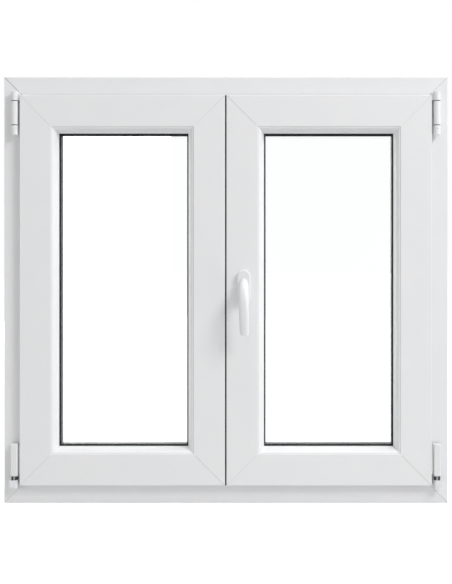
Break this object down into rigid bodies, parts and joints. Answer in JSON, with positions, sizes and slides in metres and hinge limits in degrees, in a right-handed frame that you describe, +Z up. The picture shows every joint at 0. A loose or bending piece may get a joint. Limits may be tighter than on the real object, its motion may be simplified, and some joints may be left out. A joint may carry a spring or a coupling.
{
  "type": "casement window",
  "caption": "White plastic casement window with paired inward-opening leaves, double glazing, barrel hinges, a lever handle and a rack-driven bolt lock.",
  "frame": {"origin": "underside of the sill, at mid-width and mid-depth of the outer frame", "axes": "+X to the right seen from the room, +Y towards the weather side, +Z up"},
  "size_m": [0.9, 0.135, 0.864],
  "materials": {
    "white_upvc": "smooth satin-gloss extruded surface",
    "epdm": "matt black extruded rubber",
    "clear_glass": "clear float glass",
    "spacer_bar": "matt black warm-edge spacer",
    "black_plastic": "moulded black plastic",
    "packer_plastic": "moulded packer",
    "galvanised_steel": "galvanised roll-formed steel",
    "zinc_plated_steel": "bright zinc-plated pressed steel",
    "white_coated_metal": "smooth white powder coat"
  },
  "bodies": {
    "frame": {"frame_head": "white_upvc", "frame_sill": "white_upvc", "frame_jamb_left": "white_upvc", "frame_jamb_right": "white_upvc", "frame_reinforcement": "galvanised_steel", "frame_stop_gasket": "epdm", "frame_keeps": "zinc_plated_steel", "drain_caps": "white_upvc", "pin_clips": "black_plastic", "left_stay_bearing": "white_coated_metal", "left_stay_pin": "white_coated_metal", "left_corner_rest": "white_coated_metal", "right_stay_bearing": "white_coated_metal", "right_stay_pin": "white_coated_metal", "right_corner_rest": "white_coated_metal"},
    "left_leaf": {"left_top_rail": "white_upvc", "left_bottom_rail": "white_upvc", "left_hinge_stile": "white_upvc", "left_meeting_stile": "white_upvc", "left_reinforcement": "galvanised_steel", "left_glazing_beads": "white_upvc", "left_glass_panes": "clear_glass", "left_glass_spacer": "spacer_bar", "left_glazing_gaskets": "epdm", "left_glazing_blocks": "packer_plastic", "left_lip_gasket": "epdm", "left_stay_arm": "white_coated_metal", "left_corner_hinge": "zinc_plated_steel", "left_hinge_cover": "white_coated_metal", "left_astragal": "white_upvc", "left_meeting_seals": "epdm", "left_bolt_plates": "zinc_plated_steel"},
    "right_leaf": {"right_top_rail": "white_upvc", "right_bottom_rail": "white_upvc", "right_hinge_stile": "white_upvc", "right_meeting_stile": "white_upvc", "right_reinforcement": "galvanised_steel", "right_glazing_beads": "white_upvc", "right_glass_panes": "clear_glass", "right_glass_spacer": "spacer_bar", "right_glazing_gaskets": "epdm", "right_glazing_blocks": "packer_plastic", "right_lip_gasket": "epdm", "right_stay_arm": "white_coated_metal", "right_corner_hinge": "zinc_plated_steel", "right_hinge_cover": "white_coated_metal", "right_astragal": "white_upvc", "right_meeting_seals": "epdm", "lock_faceplate": "zinc_plated_steel", "gear_case": "zinc_plated_steel", "handle_base": "zinc_plated_steel", "handle_rosette": "white_coated_metal", "handle_screws": "zinc_plated_steel"},
    "handle": {"handle_lever": "white_coated_metal", "spindle": "zinc_plated_steel", "pinion": "zinc_plated_steel"},
    "upper_rod": {"upper_lock_rod": "zinc_plated_steel"},
    "lower_rod": {"lower_lock_rod": "zinc_plated_steel"},
    "left_upper_bolt": {"left_top_bolt": "zinc_plated_steel"},
    "left_lower_bolt": {"left_bottom_bolt": "zinc_plated_steel"}
  },
  "joints": [
    {"name": "left_leaf_swing", "type": "hinge", "parent": "frame", "child": "left_leaf", "pos_m": [-0.4264, -0.045, 0.432], "axis": [0, 0, -1], "range_deg": [0, 90]},
    {"name": "right_leaf_swing", "type": "hinge", "parent": "frame", "child": "right_leaf", "pos_m": [0.4264, -0.045, 0.432], "axis": [0, 0, 1], "range_deg": [0, 90]},
    {"name": "handle_turn", "type": "hinge", "parent": "right_leaf", "child": "handle", "pos_m": [0.0365, -0.058, 0.439], "axis": [0, -1, 0], "range_deg": [0, 90]},
    {"name": "upper_rod_slide", "type": "slide", "parent": "right_leaf", "child": "upper_rod", "axis": [0, 0, 1], "range_m": [-0.01414, 0]},
    {"name": "lower_rod_slide", "type": "slide", "parent": "right_leaf", "child": "lower_rod", "axis": [0, 0, 1], "range_m": [0, 0.01414]},
    {"name": "left_upper_bolt_slide", "type": "slide", "parent": "left_leaf", "child": "left_upper_bolt", "axis": [0, 0, -1], "range_m": [0, 0.014]},
    {"name": "left_lower_bolt_slide", "type": "slide", "parent": "left_leaf", "child": "left_lower_bolt", "axis": [0, 0, 1], "range_m": [0, 0.014]}
  ],
  "couplings": [
    {"joint": "upper_rod_slide", "follows": "handle_turn", "m_per_rad": -0.009},
    {"joint": "lower_rod_slide", "follows": "handle_turn", "m_per_rad": 0.009}
  ]
}
